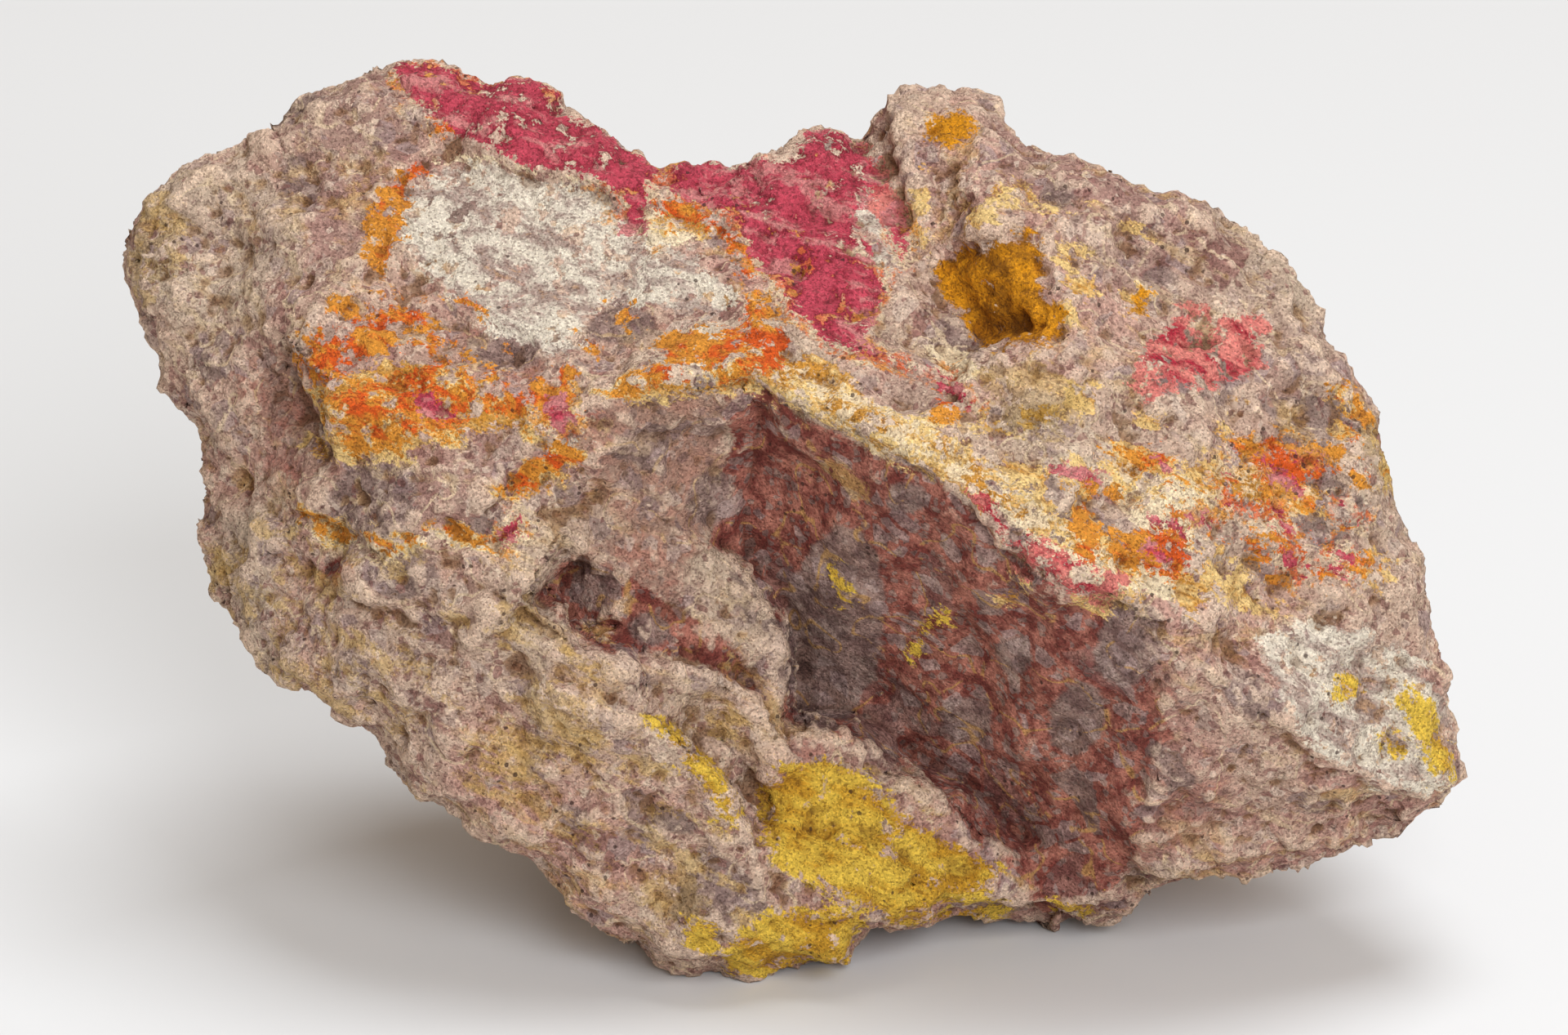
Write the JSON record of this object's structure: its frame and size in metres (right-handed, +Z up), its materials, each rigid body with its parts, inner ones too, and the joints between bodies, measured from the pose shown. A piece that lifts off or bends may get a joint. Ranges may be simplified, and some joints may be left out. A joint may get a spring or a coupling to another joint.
{
  "type": "phoenicochroite on matrix",
  "caption": "Rough block of breccia with a thin red, orange and yellow lead chromate coating on its slip face, standing on its own underside.",
  "frame": {"origin": "On the table, under the middle of the stone's box.", "axes": "+X to the right along the stone's long way, +Y from the coated face to the back, +Z up."},
  "size_m": [0.1238, 0.0602, 0.0757],
  "materials": {
    "coated_rock": "rough"
  },
  "bodies": {
    "root": {"coated_stone": "coated_rock"}
  },
  "joints": []
}
